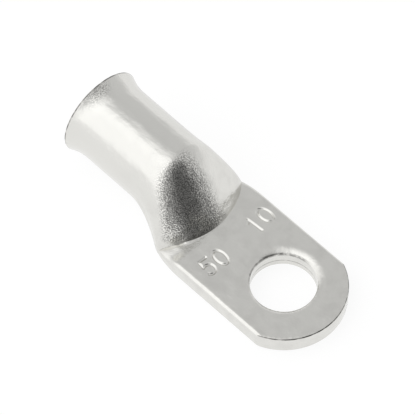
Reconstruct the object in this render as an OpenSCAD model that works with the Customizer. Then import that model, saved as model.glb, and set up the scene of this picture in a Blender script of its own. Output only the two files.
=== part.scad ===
// Flared copper cable lug: a round barrel with a bell mouth, pressed flat at the
// other end into a palm with a punched stud hole. It is one piece of tube.
// The origin is the centre of the stud hole on the underside of the palm, +X runs
// to the tip of the palm, and the mouth of the barrel faces -X.

/* [Tube] */
// Outside diameter of the barrel
barrel_od = 13.5; // [9:0.1:18]
// Thickness of the tube wall; the palm is two walls thick
wall = 1.55; // [0.9:0.05:2.2]
// Length of the barrel that stays round, without the bell mouth
barrel_length = 10.1; // [3:0.1:30]
// How far the underside of the barrel sits above the underside of the palm
barrel_lift = 0.5; // [0:0.1:2]
// Angle by which the barrel leans up from the palm towards its mouth
barrel_lean = 1; // [-2:0.5:2]

/* [Bell mouth] */
// Length of the bell mouth along its outside
flare_length = 3.7; // [2.5:0.1:7]
// How far the wall moves outwards over that length
flare_rise = 0.85; // [0.4:0.05:1.5]
// Rounding of the edges of the rim
lip_round = 0.2; // [0.1:0.05:0.4]

/* [Pressed neck] */
// Length from the end of the round barrel to the crease, along the middle
neck_length = 12.4; // [9:0.1:20]
// Length of the slope from the ridge of the barrel down to the crease
slope_length = 8.7; // [5:0.1:8.8]
// Radius of the crease, seen from above
crease_radius = 12.5; // [11.5:0.5:30]
// Full width of the neck at the ends of the crease
crease_width = 18.1; // [16:0.1:19]
// How far the pressing pushed the neck to the +Y side at the crease
crease_shift = 0.25; // [-0.4:0.05:0.4]
// Height from the palm's sides up to the crown of the section at the crease
crease_crown = 1.2; // [0.7:0.1:1.4]
// Length past the crease in which the palm comes to its full width, in the middle
shoulder_length = 0.6; // [0.3:0.1:2.5]

/* [Palm] */
// Width of the palm
palm_width = 19.1; // [17:0.1:22]
// Distance from the crease to the stud hole, along the middle
crease_to_hole = 14.3; // [12:0.1:22]
// Distance from the stud hole to the tip of the palm
hole_to_tip = 10.4; // [8.5:0.1:14]
// Radius of the sheared tip
tip_radius = 10.1; // [9:0.1:20]
// Rounding along the two sides of the palm
side_round = 0.7; // [0.3:0.05:0.8]
// Rounding along the sheared tip
tip_round = 0.2; // [0.1:0.05:0.4]

/* [Stud hole] */
// Diameter of the stud hole
hole_d = 10.5; // [4:0.1:11]
// How far the punched hole is off the middle of the palm
hole_offset = 0.4; // [-0.6:0.1:0.6]
// Width of the rolled-over rim that the punch leaves round the hole
rollover_width = 1.3; // [0.5:0.1:1.6]
// Depth of that rim
rollover_depth = 0.5; // [0.2:0.05:0.7]

/* [Hidden] */
$fn = 96;
palm_t = 2 * wall;
barrel_r = barrel_od / 2;
bore_r = barrel_r - wall;
axis_y = -hole_offset;
axis_z = barrel_lift + barrel_r;
crease_x = -crease_to_hole;
neck_x = crease_x - neck_length;
palm_x = crease_x + shoulder_length;
tip_centre_x = hole_to_tip - tip_radius;
half_palm = palm_width / 2;
half_crease = crease_width / 2;
slope_angle = atan((barrel_od + barrel_lift - palm_t) / slope_length);
eps = 0.01;        // step left where two faces would touch along a line
seat = 0.1;        // how far the palm and the barrel run into the neck
slit = 0.1;        // height left open where the two walls close on each other
overrun = 1;       // how far a cutting shape runs past the metal
crease_power = 2.5;  // power of the section's crown at the crease
half_points = 24;  // points over the top of each ring of the neck
neck_rings = 24;
shoulder_rings = 4;

function mix(a, b, k) = a + (b - a) * k;
function ease(u) = u * u * (3 - 2 * u);
// Radius of the arc that rises by rise over a length, level where it starts
function arc_radius(length, rise) = (length * length + rise * rise) / (2 * rise);
// How far the crease lies behind its middle, at a distance y to the side
function arc_back(y) = crease_radius - sqrt(pow(crease_radius, 2) - y * y);
// Drop of an edge rounded by r, at a distance y from the middle of a half width w
function edge_drop(y, w, r) =
    let (d = max(abs(y) - w + r, 0))
    r - sqrt(r * r - d * d);
// Drop of a crowned top of height h; with power 2 it is half an ellipse
function crown_drop(y, w, h, power) =
    h * (1 - pow(1 - pow(abs(y) / w, power), 1 / power));

// One ring round the neck: its middle in Y, half width w, floor, roof, the height
// and power of its crown, and the rounding of its lower edges. back is the share of
// the crease's arc that it follows, and flat the share of the palm's flat top.
function ring(x, back, mid, w, floor_z, roof_z, crown, power, low, flat = 0) =
    let (
        step = 180 / half_points,
        side = [for (i = [0 : half_points - 1]) w * sin((i + 0.5) * step - 90)],
        top = [for (y = side) [y, roof_z - mix(crown_drop(y, w, crown, power),
                                               edge_drop(y, w, side_round), flat)]],
        under = [for (i = [half_points - 1 : -1 : 0])
            [side[i], floor_z + edge_drop(side[i], w, low)]]
    )
    [for (p = concat(top, under)) [x - back * arc_back(p[0]), mid + p[0], p[1]]];

// The ring at share s of the neck, from the round barrel (0) to the crease (1).
// r is the radius at the barrel. w, base, lid, crown and low are the half width, the
// floor, the roof, the crown and the lower rounding at the crease, whose middle is
// at x1.
function neck_ring(s, r, w, base, lid, crown, low, x1) =
    let (
        e = ease(s),
        x = mix(neck_x, x1, s),
        side_z = mix(axis_z, lid - crown, pow(e, 1.1)),
        down = max(1 - (x1 - x) / slope_length, 0),
        roof_z = mix(axis_z + r, lid, pow(down, 1.5))
    )
    ring(x, s * s, axis_y + crease_shift * e, mix(r, w, pow(e, 1.1)),
         mix(axis_z - r, base, e), roof_z, roof_z - side_z,
         mix(2, crease_power, pow(e, 3)), mix(r, low, pow(e, 0.7)));

// Closed skin through a list of rings
module loft(rings) {
    n = 2 * half_points;
    last = len(rings) - 1;
    walls = [for (i = [0 : last - 1], j = [0 : n - 1])
        let (a = i * n + j, b = i * n + (j + 1) % n)
        each [[a, b, a + n], [b, b + n, a + n]]];
    start = [for (j = [0 : half_points - 2])
        let (a = j, b = n - 1 - j)
        each [[a, b, a + 1], [a + 1, b, b - 1]]];
    end = [for (j = [0 : half_points - 2])
        let (a = last * n + j, b = last * n + n - 1 - j)
        each [[a, a + 1, b], [a + 1, b - 1, b]]];
    polyhedron([for (r = rings) each r], concat(walls, start, end));
}

module neck() {
    to_crease = [for (i = [0 : neck_rings])
        neck_ring(i / neck_rings, barrel_r - eps, half_crease, 0, palm_t, crease_crown,
                  side_round, crease_x)];
    shoulder = [for (i = [1 : shoulder_rings])
        let (g = i / shoulder_rings, w = mix(half_crease, half_palm - eps, 1 - pow(1 - g, 2)))
        ring(mix(crease_x, palm_x, g), 1 - g, axis_y + crease_shift * (1 - g), w, 0, palm_t,
             crease_crown, crease_power, side_round, g)];
    loft(concat(to_crease, shoulder));
}

module neck_cavity() {
    end_x = crease_x - wall * tan(slope_angle / 2);
    loft([for (i = [0 : neck_rings])
        neck_ring(i / neck_rings, bore_r - eps, half_crease - wall, (palm_t - slit) / 2,
                  (palm_t + slit) / 2, slit / 2, slit / 2, end_x)]);
}

// Bar with the palm's section, from x0 to x1
module palm_bar(x0, x1) {
    translate([x0, axis_y, palm_t / 2])
        rotate([90, 0, 90])
            linear_extrude(x1 - x0)
                union() {
                    square([palm_width - 2 * side_round, palm_t], center = true);
                    square([palm_width, palm_t - 2 * side_round], center = true);
                    for (u = [-1, 1], v = [-1, 1])
                        translate([u * (half_palm - side_round), v * (palm_t / 2 - side_round)])
                            circle(side_round);
                }
}

// Disc that shears the end of the bar, with a slightly rounded edge
module tip_disc() {
    translate([tip_centre_x, axis_y, 0])
        rotate_extrude()
            union() {
                square([tip_radius - tip_round, palm_t]);
                translate([0, tip_round])
                    square([tip_radius, palm_t - 2 * tip_round]);
                for (z = [tip_round, palm_t - tip_round])
                    translate([tip_radius - tip_round, z])
                        circle(tip_round);
            }
}

module palm() {
    palm_bar(palm_x - seat, tip_centre_x);
    intersection() {
        palm_bar(tip_centre_x - overrun, hole_to_tip + overrun);
        tip_disc();
    }
}

// Stud hole with its rolled-over rim on top
module stud_hole() {
    rim_r = hole_d / 2 + rollover_width;
    roll_r = arc_radius(rollover_width, rollover_depth);
    translate([0, 0, -overrun])
        cylinder(h = palm_t + 2 * overrun, d = hole_d);
    rotate_extrude()
        difference() {
            translate([0, palm_t - rollover_depth])
                square([rim_r, rollover_depth + overrun]);
            translate([rim_r, palm_t - roll_r])
                circle(roll_r);
        }
}

// Band between two radii, from the -X direction through an angle towards -Y
module band(r1, r2, angle) {
    reach = 2 * r2;
    intersection() {
        polygon([[0, 0], [-reach, 0], reach * [-cos(angle), -sin(angle)]]);
        difference() {
            circle(r2);
            circle(r1);
        }
    }
}

// Half section of the barrel, which ends at height 0 where the neck begins. The wall
// of the bell rolls outwards and is cut square at the rim, with rounded edges.
module barrel_section() {
    roll_r = arc_radius(flare_length, flare_rise);
    rim_angle = asin(flare_length / roll_r);
    out_r = roll_r + lip_round + eps;
    in_r = roll_r + wall - lip_round - eps;
    out_angle = rim_angle - asin(lip_round / out_r);
    in_angle = rim_angle - asin(lip_round / in_r);
    overlap = 2 * seat + barrel_r * abs(sin(barrel_lean));
    translate([bore_r, -barrel_length])
        square([wall, barrel_length + overlap]);
    translate([barrel_r + roll_r, -barrel_length]) {
        band(roll_r, roll_r + wall / 2, out_angle);
        band(roll_r + wall / 2, roll_r + wall, in_angle);
        band(out_r + lip_round / 4, in_r - lip_round / 4, rim_angle);
        translate(out_r * [-cos(out_angle), -sin(out_angle)])
            circle(lip_round);
        translate(in_r * [-cos(in_angle), -sin(in_angle)])
            circle(lip_round);
    }
}

// The leaning barrel, cut upright where it ends in the neck
module barrel() {
    reach = barrel_length + flare_length;
    intersection() {
        translate([neck_x, axis_y, axis_z])
            rotate([0, 90 + barrel_lean, 0])
                rotate_extrude()
                    barrel_section();
        translate([neck_x + seat - 2 * reach, axis_y - barrel_od, axis_z - barrel_od])
            cube([2 * reach, 2 * barrel_od, 2 * barrel_od]);
    }
}

module cable_lug() {
    color("silver")
    difference() {
        union() {
            barrel();
            neck();
            palm();
        }
        neck_cavity();
        stud_hole();
    }
}

cable_lug();
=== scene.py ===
import math

import bmesh
import bpy
from mathutils import Matrix, Vector


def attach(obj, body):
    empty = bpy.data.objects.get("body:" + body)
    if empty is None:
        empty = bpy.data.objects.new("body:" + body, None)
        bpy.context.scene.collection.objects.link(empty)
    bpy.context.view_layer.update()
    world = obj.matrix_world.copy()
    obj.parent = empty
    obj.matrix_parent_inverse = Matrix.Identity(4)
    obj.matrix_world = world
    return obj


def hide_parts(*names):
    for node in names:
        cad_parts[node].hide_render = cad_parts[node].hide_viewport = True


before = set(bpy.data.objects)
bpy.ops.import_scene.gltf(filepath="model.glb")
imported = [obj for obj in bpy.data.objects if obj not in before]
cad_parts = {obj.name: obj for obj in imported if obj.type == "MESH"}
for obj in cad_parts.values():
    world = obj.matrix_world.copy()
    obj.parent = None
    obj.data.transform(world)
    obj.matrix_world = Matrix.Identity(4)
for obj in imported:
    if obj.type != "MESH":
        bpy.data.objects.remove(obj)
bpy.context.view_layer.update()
mm = 0.001
print("frame loaded, nodes", len(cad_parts))


def mix(a, b, share):
    return a + (b - a) * share


def ease(share):
    return share * share * (3 - 2 * share)


# points along an arc, whose angles are in degrees and whose height may be squashed
def arcPoints(centre, radius, start, end, steps, squash=1.0):
    turns = [math.radians(mix(start, end, i / steps)) for i in range(steps + 1)]
    return [(centre[0] + radius * math.cos(t), centre[1] + radius * squash * math.sin(t)) for t in turns]


def addMesh(bm, name):
    data = bpy.data.meshes.new(name)
    bm.to_mesh(data)
    bm.free()
    thing = bpy.data.objects.new(name, data)
    bpy.context.scene.collection.objects.link(thing)
    return thing


cameraView = {
    "azimuth": 44.652,  # degrees
    "elevation": 56.167,
    "roll": 1.125,
    "aim": (-19.335, 2.605, 0.0),  # mm
    "distance": 627.6,  # mm
    "lens": 348.5,
}


def placeCamera(values):
    turn, lift, roll = (math.radians(values[key]) for key in ("azimuth", "elevation", "roll"))
    back = Vector((math.sin(turn) * math.cos(lift), -math.cos(turn) * math.cos(lift), math.sin(lift)))
    right = Vector((math.cos(turn), math.sin(turn), 0))
    up = back.cross(right)
    across = right * math.cos(roll) + up * math.sin(roll)
    upwards = up * math.cos(roll) - right * math.sin(roll)
    data = bpy.data.cameras.new("camera")
    data.lens = values["lens"]
    data.clip_start = 0.01
    data.clip_end = 50
    camera = bpy.data.objects.new("camera", data)
    bpy.context.scene.collection.objects.link(camera)
    place = Matrix((across, upwards, back)).transposed().to_4x4()
    place.translation = (Vector(values["aim"]) + back * values["distance"]) * mm
    camera.matrix_world = place
    bpy.context.scene.camera = camera


placeCamera(cameraView)
print("camera placed")


lug = {  # mm, the sizes of the solid, apart from the roll-over round the hole
    "barrelRadius": 6.75,
    "wall": 1.55,
    "barrelLength": 10.1,
    "barrelLift": 0.5,
    "barrelLean": 1.0,  # degrees
    "flareLength": 3.7,
    "flareRise": 0.85,
    "lipRound": 0.2,
    "neckLength": 12.4,
    "slopeLength": 8.7,
    "creaseRadius": 12.5,
    "creaseWidth": 18.1,
    "creaseShift": 0.25,
    "creaseCrown": 1.2,
    "creasePower": 2.5,
    "shoulderLength": 0.6,
    "palmWidth": 19.1,
    "creaseToHole": 14.3,
    "holeToTip": 10.4,
    "tipRadius": 10.1,
    "sideRound": 0.7,
    "tipRound": 0.2,
    "holeRadius": 5.25,
    "holeOffset": 0.4,
    "rolloverWidth": 1.45,  # 0.15 wider than in the solid
    "rolloverDepth": 0.45,  # 0.05 shallower
    "slit": 0.1,  # left open where the two walls close on each other
    # powers that set how fast the neck changes from round to flat
    "widthPower": 1.1,
    "roofPower": 1.5,
    "crownPower": 3,
    "lowerPower": 0.7,
    # steps of the mesh
    "pointsOverTop": 72,
    "neckRings": 72,
    "barrelRings": 10,
    "bellRings": 20,
    "shoulderRings": 8,
    "palmRings": 40,
    "edgeSteps": 6,
    "tipSteps": 160,
    "rolloverSteps": 12,
    "holeSteps": 144,
    "weld": 1e-4,
    "sharpAngle": 25,  # degrees, past which an edge is shaded sharp
}
palmThickness = 2 * lug["wall"]
boreRadius = lug["barrelRadius"] - lug["wall"]
axisY = -lug["holeOffset"]
axisZ = lug["barrelLift"] + lug["barrelRadius"]
creaseX = -lug["creaseToHole"]
neckX = creaseX - lug["neckLength"]
palmX = creaseX + lug["shoulderLength"]


def edgeDrop(y, halfWidth, rounding):
    past = max(abs(y) - halfWidth + rounding, 0)
    return rounding - math.sqrt(rounding * rounding - past * past)


def crownDrop(y, halfWidth, crown, power):
    return crown * (1 - (1 - (abs(y) / halfWidth) ** power) ** (1 / power))


# one ring round the neck or the palm: back is its share of the crease's arc, flat its share of the flat top
def sectionRing(x, back, middle, halfWidth, floorZ, roofZ, crown, power, lower, flat=0.0):
    count = lug["pointsOverTop"]
    sides = [halfWidth * math.sin(math.pi * ((i + 0.5) / count - 0.5)) for i in range(count)]
    over = [(y, roofZ - mix(crownDrop(y, halfWidth, crown, power),
                            edgeDrop(y, halfWidth, lug["sideRound"]), flat)) for y in sides]
    under = [(y, floorZ + edgeDrop(y, halfWidth, lower)) for y in reversed(sides)]
    radius = lug["creaseRadius"]
    return [Vector((x - back * (radius - math.sqrt(radius * radius - y * y)), middle + y, z))
            for y, z in over + under]


# the neck's ring at share s from the round barrel (0) to the crease (1)
def neckRing(s, radius, halfWidth, base, lid, crown, lower, endX):
    eased = ease(s)
    widened = eased ** lug["widthPower"]
    x = mix(neckX, endX, s)
    sideZ = mix(axisZ, lid - crown, widened)
    down = max(1 - (endX - x) / lug["slopeLength"], 0)
    roofZ = mix(axisZ + radius, lid, down ** lug["roofPower"])
    return sectionRing(x, s * s, axisY + lug["creaseShift"] * eased, mix(radius, halfWidth, widened),
                       mix(axisZ - radius, base, eased), roofZ, roofZ - sideZ,
                       mix(2, lug["creasePower"], eased ** lug["crownPower"]),  # 2 is a round top
                       mix(radius, lower, eased ** lug["lowerPower"]))


def neckRings(*section):
    count = lug["neckRings"]
    return [neckRing(i / count, *section) for i in range(count + 1)]


def barrelRing(along, radius):
    lean = Matrix.Rotation(math.radians(lug["barrelLean"]), 3, "Y")
    pivot = Vector((neckX, axisY, axisZ))
    count = lug["pointsOverTop"]
    turns = [math.pi * (i + 0.5) / count for i in range(2 * count)]
    return [pivot + lean @ Vector((-along, -radius * math.cos(a), radius * math.sin(a))) for a in turns]


def barrelRings(radius):
    count = lug["barrelRings"]
    return [barrelRing(lug["barrelLength"] * i / count, radius) for i in range(count)]


# half section of the bell mouth, from the bore over the rim to the outside
def bellProfile():
    wall, rounding = lug["wall"], lug["lipRound"]
    length, rise = lug["flareLength"], lug["flareRise"]
    roll = (length * length + rise * rise) / (2 * rise)
    centre = (lug["barrelLength"], lug["barrelRadius"] + roll)
    rimTurn = math.degrees(math.asin(length / roll))
    steps = lug["bellRings"]

    def corner(radius, start):
        turn = rimTurn - math.degrees(math.asin(rounding / radius))
        middle = arcPoints(centre, radius, turn - 90, turn, 1)[0]
        return turn, arcPoints(middle, rounding, start, start + 90, lug["edgeSteps"])

    innerTurn, innerEdge = corner(roll + wall - rounding, rimTurn - 90)
    outerTurn, outerEdge = corner(roll + rounding, rimTurn)
    inside = arcPoints(centre, roll + wall, -90, innerTurn - 90, steps)[:-1]
    outside = arcPoints(centre, roll, outerTurn - 90, -90, steps)[1:]
    across = list(zip(innerEdge[-1], outerEdge[0]))
    rimFace = [tuple(mix(a, b, share) for a, b in across) for share in (0.1, 0.5, 0.9)]
    return inside + innerEdge + rimFace + outerEdge + outside


creases = {  # mm, small folds that the pressing left beside the crease
    # each ridge: its start and end in x and y, its width and its height
    "ridges": (((-18.0, -8.9), (-16.3, -6.6), 0.25, -0.2),
               ((-15.7, -5.7), (-15.1, -3.2), 0.3, 0.22),
               ((-14.6, 2.0), (-15.8, 5.8), 0.3, 0.1)),
    "dipSide": -7.3,  # past this y the near corner sinks, by dipTilt for each mm
    "dipTilt": 0.27,
    "dipFade": (-14.0, -15.6),  # x where the dip starts and where it is full
    "dipEnd": -19.0,
}


def fromLine(x, y, start, end):
    alongX, alongY = end[0] - start[0], end[1] - start[1]
    share = ((x - start[0]) * alongX + (y - start[1]) * alongY) / (alongX ** 2 + alongY ** 2)
    share = min(max(share, 0), 1)
    return math.hypot(x - start[0] - share * alongX, y - start[1] - share * alongY)


# lifts and lowers the top half of a ring
def creased(ring):
    dipStart, dipFull = creases["dipFade"]
    for i in range(lug["pointsOverTop"]):
        x, y, z = ring[i]
        lift = 0
        for start, end, width, height in creases["ridges"]:
            lift += height * math.exp(-(fromLine(x, y, start, end) / width) ** 2)
        dip = (dipStart - x) / (dipStart - dipFull)
        if dip > 0 and x > creases["dipEnd"]:
            lift -= creases["dipTilt"] * max(creases["dipSide"] - y, 0) * ease(min(dip, 1))
        ring[i] = Vector((x, y, z + lift))
    return ring


# rings from the closed end of the inside, out through the mouth, and back over the outside to the tip
def lugRings():
    thickness, rounding, slit = palmThickness, lug["sideRound"], lug["slit"]
    crown, power = lug["creaseCrown"], lug["creasePower"]
    halfCrease, halfPalm = lug["creaseWidth"] / 2, lug["palmWidth"] / 2
    slope = math.atan((2 * lug["barrelRadius"] + lug["barrelLift"] - thickness) / lug["slopeLength"])
    closeX = creaseX - lug["wall"] * math.tan(slope / 2)
    rings = neckRings(boreRadius, halfCrease - lug["wall"], (thickness - slit) / 2, (thickness + slit) / 2,
                      slit / 2, slit / 2, closeX)[:0:-1]
    rings += barrelRings(boreRadius)
    rings += [barrelRing(along, radius) for along, radius in bellProfile()]
    rings += barrelRings(lug["barrelRadius"])[:0:-1]
    rings += [creased(ring) for ring in neckRings(lug["barrelRadius"], halfCrease, 0, thickness, crown,
                                                  rounding, creaseX)]
    for i in range(1, lug["shoulderRings"] + 1):
        share = i / lug["shoulderRings"]
        halfWidth = mix(halfCrease, halfPalm, 1 - (1 - share) ** 2)
        rings.append(creased(sectionRing(mix(creaseX, palmX, share), 1 - share,
                                         axisY + lug["creaseShift"] * (1 - share), halfWidth,
                                         0, thickness, crown, power, rounding, share)))
    endX = lug["holeToTip"] + 1  # the tip is sheared off later
    for i in range(1, lug["palmRings"] + 1):
        rings.append(sectionRing(mix(palmX, endX, i / lug["palmRings"]), 0, axisY, halfPalm,
                                 0, thickness, rounding, 2, rounding, 1))
    return rings


def skinFromRings(bm, rings):
    index = bm.verts.layers.int.new("ringIndex")
    made = bmesh.ops.create_circle(bm, cap_ends=True, segments=len(rings[0]), radius=1)["verts"]
    made.sort(key=lambda v: math.atan2(v.co.x, v.co.y))
    for i, v in enumerate(made):
        v[index] = i
        v.co = rings[0][i]
    edges = list({e for v in made for e in v.link_edges})
    for ring in rings[1:]:
        grown = bmesh.ops.extrude_edge_only(bm, edges=edges)["geom"]
        verts = {g for g in grown if isinstance(g, bmesh.types.BMVert)}
        for v in verts:
            v.co = ring[v[index]]
        edges = [g for g in grown if isinstance(g, bmesh.types.BMEdge) and all(v in verts for v in g.verts)]
    bmesh.ops.contextual_create(bm, geom=edges)


# turns a bmesh in mm, with its faces outwards, into an object in metres
def toObject(bm, name):
    bmesh.ops.recalc_face_normals(bm, faces=bm.faces)
    bmesh.ops.scale(bm, vec=(mm, mm, mm), verts=bm.verts)
    return addMesh(bm, name)


def tipCutter():
    radius, rounding = lug["tipRadius"], lug["tipRound"]
    clear = 0.01  # mm past the palm's faces, so that no two faces lie in one plane
    over, out = 2, 5  # mm that the cutter runs past the faces and past the tip
    edge = radius - rounding
    profile = [(edge, -over), (radius + out, -over), (radius + out, palmThickness + over),
               (edge, palmThickness + over)]
    profile += arcPoints((edge, palmThickness + clear - rounding), rounding, 90, 0, lug["edgeSteps"])
    profile += arcPoints((edge, rounding - clear), rounding, 0, -90, lug["edgeSteps"])
    bm = bmesh.new()
    face = bm.faces.new([bm.verts.new((0, -x, z)) for x, z in profile])
    bmesh.ops.spin(bm, geom=[face], cent=(0, 0, 0), axis=(0, 0, 1), angle=math.pi, steps=lug["tipSteps"],
                   use_duplicate=False)
    bmesh.ops.translate(bm, vec=(lug["holeToTip"] - radius, axisY, 0), verts=bm.verts)
    return toObject(bm, "tipCutter")


def holeCutter():
    radius, width, depth = lug["holeRadius"], lug["rolloverWidth"], lug["rolloverDepth"]
    roll = (width * width + depth * depth) / (2 * depth)
    sweep = math.degrees(math.asin(width / roll))
    clear = 0.005  # mm, lifts the roll-over's outer edge off the palm's face
    below, above = 1, 2  # mm that the cutter runs past the faces
    profile = [(0, -below), (radius, -below)]
    profile += arcPoints((radius + width, palmThickness - roll + clear), roll, 90 + sweep, 90,
                         lug["rolloverSteps"])
    profile += [(radius + width, palmThickness + above), (0, palmThickness + above)]
    bm = bmesh.new()
    verts = [bm.verts.new((x, 0, z)) for x, z in profile]
    edges = [bm.edges.new(pair) for pair in zip(verts, verts[1:])]
    bmesh.ops.spin(bm, geom=verts + edges, cent=(0, 0, 0), axis=(0, 0, 1), angle=2 * math.pi,
                   steps=lug["holeSteps"], use_merge=True, use_duplicate=False)
    bmesh.ops.remove_doubles(bm, verts=bm.verts, dist=lug["weld"])
    return toObject(bm, "holeCutter")


def cut(thing, cutter):
    step = thing.modifiers.new("cut", "BOOLEAN")
    step.operation = "DIFFERENCE"
    step.solver = "EXACT"
    step.object = cutter
    data = bpy.data.meshes.new_from_object(thing.evaluated_get(bpy.context.evaluated_depsgraph_get()))
    thing.modifiers.clear()
    old = thing.data
    thing.data = data
    data.name = thing.name
    bpy.data.meshes.remove(old)
    bpy.data.objects.remove(cutter)


stamps = {  # mm, plain numbers stamped into the palm: the cable's size and the stud's
    "height": 3.0,
    "width": 1.75,
    "gap": 0.85,
    "lineWidth": 0.6,
    "depth": 0.2,
    "fineness": 4,  # cuts in each edge of the mesh under the numbers
    "margin": 1.0,  # how far the finer mesh runs past the numbers
    "flatness": 0.01,  # how near the palm's top a point lies on it
    "places": (("50", (-8.6, -7.5), 87), ("10", (-8.9, 3.2), 94)),  # start of the baseline, turn in degrees
}


# strokes of a 0, 1 or 5, in shares of its width and height
def digitStrokes(digit):
    if digit == "0":
        return [arcPoints((0.5, 0.5), 0.5, 0, 360, 32)]
    if digit == "1":
        return [[(0.25, 0.8), (0.42, 0.88), (0.56, 1.0), (0.58, 0.97), (0.58, 0)]]
    bowl = arcPoints((0.45, 0.31), 0.5, 125, -140, 24, squash=0.62)
    return [[(0.15, 1.0), (1.0, 1.0)], [(0.15, 0.96), (0.12, 0.6)], bowl]


def numberLines():
    lines = []
    pitch = stamps["width"] + stamps["gap"]
    for text, start, turn in stamps["places"]:
        alongX, alongY = math.cos(math.radians(turn)), math.sin(math.radians(turn))
        for i, digit in enumerate(text):
            for stroke in digitStrokes(digit):
                flat = [(i * pitch + x * stamps["width"], y * stamps["height"]) for x, y in stroke]
                path = [(start[0] + x * alongX - y * alongY, start[1] + x * alongY + y * alongX)
                        for x, y in flat]
                lines += list(zip(path, path[1:]))
    return lines


# makes the palm's top finer round the numbers, then presses their lines in
def stampNumbers(bm):
    lines = numberLines()
    reach, margin = stamps["lineWidth"] / 2, stamps["margin"]
    xs = [end[0] for line in lines for end in line]
    ys = [abs(end[1]) for line in lines for end in line]
    lowX, highX = min(xs) - margin, max(xs) + margin
    lowY, highY = min(ys) - margin, max(ys) + margin

    def near(p):
        x, y, z = p / mm
        return lowX < x < highX and lowY < abs(y) < highY and abs(z - palmThickness) < stamps["flatness"]

    edges = {e for f in bm.faces if all(near(v.co) for v in f.verts) for e in f.edges}
    bmesh.ops.subdivide_edges(bm, edges=list(edges), cuts=stamps["fineness"], use_grid_fill=True)
    for v in bm.verts:
        if near(v.co):
            away = min(fromLine(v.co.x / mm, v.co.y / mm, *line) for line in lines)
            if away < reach:
                v.co.z -= stamps["depth"] * mm * ease(1 - away / reach)


def buildLug():
    bm = bmesh.new()
    skinFromRings(bm, lugRings())
    thing = toObject(bm, "lug")
    cut(thing, tipCutter())
    cut(thing, holeCutter())
    bm = bmesh.new()
    bm.from_mesh(thing.data)
    bmesh.ops.remove_doubles(bm, verts=bm.verts, dist=lug["weld"] * mm)
    stampNumbers(bm)
    for face in bm.faces:
        face.smooth = True
    for edge in bm.edges:
        edge.smooth = not (edge.is_manifold and edge.calc_face_angle(0) > math.radians(lug["sharpAngle"]))
    print("open edges", sum(not e.is_manifold for e in bm.edges), "faces", len(bm.faces))
    bm.to_mesh(thing.data)
    bm.free()
    return thing


lugPiece = buildLug()
print("lug built")


def newMaterial(name):
    material = bpy.data.materials.new(name)
    material.use_nodes = True
    tree = material.node_tree
    tree.nodes.clear()
    return material, tree


# adds a node; an input gets a link from a socket, or a plain value
def addNode(tree, kind, inputs=None, **settings):
    node = tree.nodes.new(kind)
    for key, value in settings.items():
        setattr(node, key, value)
    for name, value in (inputs or {}).items():
        if isinstance(value, bpy.types.NodeSocket):
            tree.links.new(value, node.inputs[name])
        else:
            node.inputs[name].default_value = value
    return node


def maths(tree, operation, first, second=0.0):
    return addNode(tree, "ShaderNodeMath", {0: first, 1: second}, operation=operation).outputs[0]


def product(tree, first, *others):
    for other in others:
        first = maths(tree, "MULTIPLY", first, other)
    return first


def vectorMaths(tree, operation, first, second, output="Vector"):
    return addNode(tree, "ShaderNodeVectorMath", {0: first, 1: second}, operation=operation).outputs[output]


# 0 up to start and 1 from end on, smooth between them; start may be the larger
def smoothShare(tree, source, start, end):
    return addNode(tree, "ShaderNodeMapRange", {"Value": source, "From Min": start, "From Max": end},
                   interpolation_type="SMOOTHSTEP").outputs["Result"]


def fade(tree, source, start, end):  # start and end in mm
    return smoothShare(tree, source, start * mm, end * mm)


# 1 between the inner edges and 0 outside the outer ones, in mm
def window(tree, source, outerLow, innerLow, innerHigh, outerHigh):
    return product(tree, fade(tree, source, outerLow, innerLow), fade(tree, source, outerHigh, innerHigh))


def towards(tree, start, level, share):
    return addNode(tree, "ShaderNodeMix", {"A": start, "B": level, "Factor": share},
                   data_type="FLOAT").outputs["Result"]


def blendColours(tree, first, second, share):  # 0, 6 and 7 are the colour sockets of the mix node
    return addNode(tree, "ShaderNodeMix", {0: share, 6: first, 7: second}, data_type="RGBA").outputs[2]


def alongDirection(tree, source, direction):
    return vectorMaths(tree, "DOT_PRODUCT", source, Vector(direction).normalized(), "Value")


def noise(tree, place, size, detail=1.0):  # size in mm, one for all ways or one for each axis
    sizes = size if isinstance(size, tuple) else (size, size, size)
    stretched = vectorMaths(tree, "DIVIDE", place, [each * mm for each in sizes])
    inputs = {"Vector": stretched, "Scale": 1, "Detail": detail}
    return addNode(tree, "ShaderNodeTexNoise", inputs).outputs["Fac"]


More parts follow.
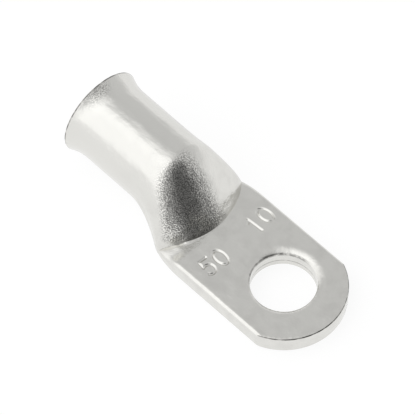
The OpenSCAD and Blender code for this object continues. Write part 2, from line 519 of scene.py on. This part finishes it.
plating = {  # sizes, heights and places in mm
    "colour": (0.748, 0.742, 0.712, 1),
    "dullColour": (0.70, 0.693, 0.665, 1),
    "dullSize": 2.4,
    "dullNoise": (0.38, 0.72),
    "dullAlong": (-34, -14),  # the dull patches grow towards the palm
    "roughness": 0.19,
    "roughnessSpread": 0.12,
    "roughnessSize": 3.1,
    # the pressed slope keeps the stipple of the tool
    "slopeAlong": (-23.6, -21.6, -14.3, -13.9),
    "slopeAbove": (2.9, 3.6),
    "slopeNear": (-20.4, -18.9),  # y plus flankLean times x, along the near flank
    "flankLean": 0.63,
    "slopeFar": (2.4, 0.2),
    "grainSizes": (0.2, 0.24, 0.2),
    "grainHeight": 0.03,
    "grainElsewhere": 0.4,  # share of the grain's height outside the slope
    "speckSize": 0.17,
    "speckNoise": (0.32, 0.68),
    "pitShadeGrainGlint": (0.45, 1.15),  # share of the colour in the pits, as painted shade, and on the grains between them, as painted glints
    "rimSpecks": 0.8,
    "rimSpecksAlong": (-2.6, -0.6),  # from the rim
    "rimSpecksAcross": (-5, -2, -1, 2),
    "mottleSize": 2.6,
    "mottleHeight": 0.12,
    "streakSizes": (9.0, 1.1, 1.1),
    "streakHeight": 0.05,
    "streakAlong": (-18, -26),
    # painted shade: dark lines painted along the cut edges, at the rim of the mouth, along the sheared tip's
    # top, along one side of the hole's edge, and a painted shadow line in the hole's wall
    "edgeShadeColour": (0.2, 0.195, 0.185, 1),
    "edgeBreakSize": 0.9,
    "edgeBreakNoise": (0.2, 0.62),
    "rimOuter": (-0.25, -0.1, 0.03, 0.12),  # from the rim along the barrel
    "rimInner": (0.45, 0.55, 0.8, 0.9),
    "tipReach": (-0.16, -0.08),  # from the tip's radius
    "tipBelowTop": (-0.24, -0.16),
    "tipAlong": (3.2, 3.8),
    "holeShadowLine": (0.8, 0.95, 1.05, 1.2),  # heights of the painted shadow line in the hole's wall
    "holeShadowShare": 0.5,
    "holeReach": (-0.1, -0.03, 0.14, 0.28),  # from the hole's radius
    "holeAbove": (2.2, 2.5),
    "holeAlong": (1.0, -1.5),
    "holeAcross": (-4.4, -2.6),
    "holeEdgeShare": 0.8,
}


def shifted(edges, by):
    return tuple(edge + by for edge in edges)


# the surface's place on the lug: its axes, and how far it lies along the leaning barrel
def placeOnLug(tree):
    place = addNode(tree, "ShaderNodeTexCoord").outputs["Object"]
    axes = addNode(tree, "ShaderNodeSeparateXYZ", {0: place}).outputs
    lean = math.radians(lug["barrelLean"])
    fromNeck = vectorMaths(tree, "SUBTRACT", place, (neckX * mm, axisY * mm, axisZ * mm))
    along = alongDirection(tree, fromNeck, (-math.cos(lean), 0, math.sin(lean)))
    return place, axes["X"], axes["Y"], axes["Z"], along


def distanceInPlan(tree, place, centreX, centreY):
    offset = vectorMaths(tree, "SUBTRACT", place, (centreX * mm, centreY * mm, 0))
    flat = vectorMaths(tree, "MULTIPLY", offset, (1, 1, 0))
    return vectorMaths(tree, "LENGTH", flat, (0, 0, 0), "Value")


def slopeShare(tree, values, x, y, z):
    nearSide = maths(tree, "ADD", y, maths(tree, "MULTIPLY", x, values["flankLean"]))
    return product(tree, window(tree, x, *values["slopeAlong"]), fade(tree, z, *values["slopeAbove"]),
                   fade(tree, nearSide, *values["slopeNear"]), fade(tree, y, *values["slopeFar"]))


def unevenNormal(tree, values, place, x, slope):
    grain = product(tree, noise(tree, place, values["grainSizes"], 0.0), values["grainHeight"] * mm,
                    towards(tree, values["grainElsewhere"], 1.0, slope))
    mottle = product(tree, noise(tree, place, values["mottleSize"], 2.0), values["mottleHeight"] * mm)
    streaks = product(tree, noise(tree, place, values["streakSizes"]), values["streakHeight"] * mm,
                      fade(tree, x, *values["streakAlong"]))
    height = maths(tree, "ADD", grain, maths(tree, "ADD", mottle, streaks))
    return addNode(tree, "ShaderNodeBump", {"Distance": 1, "Height": height}).outputs["Normal"]


# painted shade: dark lines along the rim, the sheared tip's top edge and one side of the hole's edge, and a
# painted shadow line in the hole's wall, broken up by noise
def paintedEdgeShade(tree, values, place, x, y, z, along):
    rim = lug["barrelLength"] + lug["flareLength"]
    rimShade = maths(tree, "MAXIMUM", window(tree, along, *shifted(values["rimOuter"], rim)),
                    window(tree, along, *shifted(values["rimInner"], rim)))
    fromTip = distanceInPlan(tree, place, lug["holeToTip"] - lug["tipRadius"], axisY)
    tipShade = product(tree, fade(tree, fromTip, *shifted(values["tipReach"], lug["tipRadius"])),
                      fade(tree, z, *shifted(values["tipBelowTop"], palmThickness)),
                      fade(tree, x, *values["tipAlong"]))
    fromHole = distanceInPlan(tree, place, 0, 0)
    inHole = maths(tree, "LESS_THAN", fromHole, (lug["holeRadius"] + lug["rolloverWidth"]) * mm)
    holeShadowLine = product(tree, window(tree, z, *values["holeShadowLine"]), inHole, values["holeShadowShare"])
    holeEdgeShade = product(tree, window(tree, fromHole, *shifted(values["holeReach"], lug["holeRadius"])),
                       fade(tree, z, *values["holeAbove"]), fade(tree, x, *values["holeAlong"]),
                       fade(tree, y, *values["holeAcross"]), values["holeEdgeShare"])
    edges = rimShade
    for other in (tipShade, holeShadowLine, holeEdgeShade):
        edges = maths(tree, "MAXIMUM", edges, other)
    broken = smoothShare(tree, noise(tree, place, values["edgeBreakSize"], 2.0), *values["edgeBreakNoise"])
    return maths(tree, "MULTIPLY", edges, broken)


# speckled colour on the slope and on top of the rim: painted shade in the pits of the stipple and painted
# glints on its grains, as shares of the colour; the stipple's bumps themselves are real
def stippleShadeAndGlint(tree, values, place, y, z, along, slope):
    rim = lug["barrelLength"] + lug["flareLength"]
    onRim = product(tree, fade(tree, along, *shifted(values["rimSpecksAlong"], rim)),
                    window(tree, y, *values["rimSpecksAcross"]), values["rimSpecks"],
                    maths(tree, "GREATER_THAN", z, axisZ * mm))
    specks = smoothShare(tree, noise(tree, place, values["speckSize"], 0.0), *values["speckNoise"])
    pit, grain = values["pitShadeGrainGlint"]
    return towards(tree, 1.0, towards(tree, pit, grain, specks), maths(tree, "MAXIMUM", slope, onRim))


def tinPlate(values):
    material, tree = newMaterial("tinPlate")
    place, x, y, z, along = placeOnLug(tree)
    slope = slopeShare(tree, values, x, y, z)
    patches = smoothShare(tree, noise(tree, place, values["dullSize"], 2.0), *values["dullNoise"])
    dull = product(tree, patches, fade(tree, x, *values["dullAlong"]))
    tint = blendColours(tree, values["colour"], values["dullColour"], dull)
    # painted shade in the stipple's pits and painted glints on its grains
    level = stippleShadeAndGlint(tree, values, place, y, z, along, slope)
    specked = addNode(tree, "ShaderNodeVectorMath", {0: tint, "Scale": level}, operation="SCALE").outputs[0]
    # painted shade lines along the edges, blended into the colour below
    edges = paintedEdgeShade(tree, values, place, x, y, z, along)
    spread = values["roughnessSpread"]
    rough = product(tree, noise(tree, place, values["roughnessSize"], 3.0), spread)
    shader = addNode(tree, "ShaderNodeBsdfPrincipled", {
        "Metallic": 1,
        "Base Color": blendColours(tree, specked, values["edgeShadeColour"], edges),
        "Roughness": maths(tree, "ADD", rough, values["roughness"] - spread / 2),
        "Normal": unevenNormal(tree, values, place, x, slope),
    })
    addNode(tree, "ShaderNodeOutputMaterial", {"Surface": shader.outputs[0]})
    return material


lugPiece.data.materials.clear()
lugPiece.data.materials.append(tinPlate(plating))
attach(lugPiece, "root")
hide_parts("cable_lug")
print("plating done")


studio = {
    "floorZ": -0.15,  # mm
    "floorSize": 6.0,  # m
    "floorGlow": 0.85,
    "floorColour": 0.2,
    "bounceColour": 0.8,  # the floor as it lights the lug's underside
    "tentRadius": 1.5,  # m
    # level of the tent's wall at compass angles in degrees, +X is 0
    "wall": ((-180, 0.76), (-152, 1.22), (-84, 1.34), (-68, 1.06), (-54, 0.68), (-38, 0.43),
             (-24, 0.28), (-11, 0.13), (11, 0.12), (19, 0.2), (36, 0.61), (47, 0.71), (180, 0.66)),
    "ceiling": 0.64,
    "wallEnds": (44, 76),  # elevations between which the wall blends into the ceiling
    "keyCentre": (-122, 55),  # compass angle and elevation
    "keySpread": (54, 12),  # degrees from its centre, gone and full
    "keyLevel": 1.4,
    "horizonLevel": 1.0,
    "horizonTop": 26,  # elevation at which the glow over the floor ends
    "horizonWall": (0.5, 0.7),  # the glow comes up between these levels of the wall
    "cardOnFloor": (0.013, 0.026),  # m from the middle, where the dark card's foot begins
    "cardGain": 1.45,  # how much lighter the wall looks on the floor
    "worldLevel": 0.7,
    "worldSeen": 1.0,
}


def grey(level):
    return (level, level, level, 1)


def blendShaders(tree, first, second, share):
    return addNode(tree, "ShaderNodeMixShader", {0: share, 1: first, 2: second}).outputs[0]


# 1 where the camera, a reflection or clear material looks straight at the surface
def seenDirectly(tree):
    path = addNode(tree, "ShaderNodeLightPath").outputs
    seen = maths(tree, "MAXIMUM", path["Is Camera Ray"], path["Is Glossy Ray"])
    return maths(tree, "MAXIMUM", seen, path["Is Transmission Ray"])


def wallLevel(tree, direction, stops):
    axes = addNode(tree, "ShaderNodeSeparateXYZ", {0: direction}).outputs
    compass = maths(tree, "ARCTAN2", axes["Y"], axes["X"])
    turn = addNode(tree, "ShaderNodeMapRange", {"Value": compass, "From Min": -math.pi, "From Max": math.pi})
    ramp = addNode(tree, "ShaderNodeValToRGB", {"Fac": turn.outputs["Result"]})
    marks = ramp.color_ramp.elements
    marks.remove(marks[1])
    marks[0].position = 0
    marks[0].color = grey(stops[0][1])
    for angle, level in stops[1:]:
        marks.new((angle + 180) / 360).color = grey(level)
    return ramp.outputs["Color"]


def makeFloor(values):
    bm = bmesh.new()
    bmesh.ops.create_grid(bm, x_segments=1, y_segments=1, size=values["floorSize"] / 2)
    bmesh.ops.translate(bm, vec=(0, 0, values["floorZ"] * mm), verts=bm.verts)
    floor = addMesh(bm, "floor")
    material, tree = newMaterial("floor")
    place = addNode(tree, "ShaderNodeTexCoord").outputs["Object"]
    # only in the metal's reflections, the tent's dark card goes on over the floor
    distance = vectorMaths(tree, "LENGTH", place, (0, 0, 0), "Value")
    inMetal = addNode(tree, "ShaderNodeLightPath").outputs["Is Glossy Ray"]
    foot = maths(tree, "MULTIPLY", smoothShare(tree, distance, *values["cardOnFloor"]), inMetal)
    card = maths(tree, "MULTIPLY", wallLevel(tree, place, values["wall"]), values["cardGain"])
    card = maths(tree, "MAXIMUM", maths(tree, "SUBTRACT", card, values["floorColour"]), 0.0)
    card = maths(tree, "MINIMUM", card, values["floorGlow"])
    glow = addNode(tree, "ShaderNodeEmission", {"Strength": towards(tree, values["floorGlow"], card, foot)})
    matt = addNode(tree, "ShaderNodeBsdfDiffuse", {"Color": grey(values["floorColour"])})
    seen = addNode(tree, "ShaderNodeAddShader", {0: glow.outputs[0], 1: matt.outputs[0]})
    bounce = addNode(tree, "ShaderNodeBsdfDiffuse", {"Color": grey(values["bounceColour"])})
    top = blendShaders(tree, bounce.outputs[0], seen.outputs[0], seenDirectly(tree))
    clear = addNode(tree, "ShaderNodeBsdfTransparent").outputs[0]
    fromBelow = addNode(tree, "ShaderNodeNewGeometry").outputs["Backfacing"]
    addNode(tree, "ShaderNodeOutputMaterial", {"Surface": blendShaders(tree, top, clear, fromBelow)})
    floor.data.materials.append(material)


def makeTent(values):
    bm = bmesh.new()
    bmesh.ops.create_uvsphere(bm, u_segments=64, v_segments=32, radius=values["tentRadius"])
    tent = addMesh(bm, "tent")
    material, tree = newMaterial("tentCloth")
    place = addNode(tree, "ShaderNodeTexCoord").outputs["Object"]
    direction = vectorMaths(tree, "NORMALIZE", place, (0, 0, 0))
    height = addNode(tree, "ShaderNodeSeparateXYZ", {0: direction}).outputs["Z"]

    def sine(degrees):
        return math.sin(math.radians(degrees))

    wall = wallLevel(tree, place, values["wall"])
    wallLow, wallHigh = values["horizonWall"]
    bright = addNode(tree, "ShaderNodeMapRange", {"Value": wall, "From Min": wallLow, "From Max": wallHigh})
    low = product(tree, smoothShare(tree, height, sine(values["horizonTop"]), 0), bright.outputs["Result"])
    wall = towards(tree, wall, values["horizonLevel"], low)
    turn, lift = (math.radians(a) for a in values["keyCentre"])
    keyWay = (math.cos(turn) * math.cos(lift), math.sin(turn) * math.cos(lift), math.sin(lift))
    fromKey = maths(tree, "ARCCOSINE", alongDirection(tree, direction, keyWay))
    gone, full = (math.radians(a) for a in values["keySpread"])
    ceiling = towards(tree, values["ceiling"], values["keyLevel"], smoothShare(tree, fromKey, gone, full))
    wallTop, ceilingStart = values["wallEnds"]
    level = towards(tree, wall, ceiling, smoothShare(tree, height, sine(wallTop), sine(ceilingStart)))
    glow = addNode(tree, "ShaderNodeEmission", {"Strength": level})
    addNode(tree, "ShaderNodeOutputMaterial", {"Surface": glow.outputs[0]})
    tent.data.materials.append(material)
    tent.visible_camera = False
    tent.visible_shadow = False


def makeWorld(values):
    world = bpy.data.worlds.new("studio")
    bpy.context.scene.world = world
    world.use_nodes = True
    tree = world.node_tree
    tree.nodes.clear()
    level = towards(tree, values["worldLevel"], values["worldSeen"], seenDirectly(tree))
    sky = addNode(tree, "ShaderNodeBackground", {"Strength": level})
    addNode(tree, "ShaderNodeOutputWorld", {"Surface": sky.outputs[0]})


makeFloor(studio)
makeTent(studio)
makeWorld(studio)
bpy.context.scene.view_settings.view_transform = "Standard"
print("studio lit")
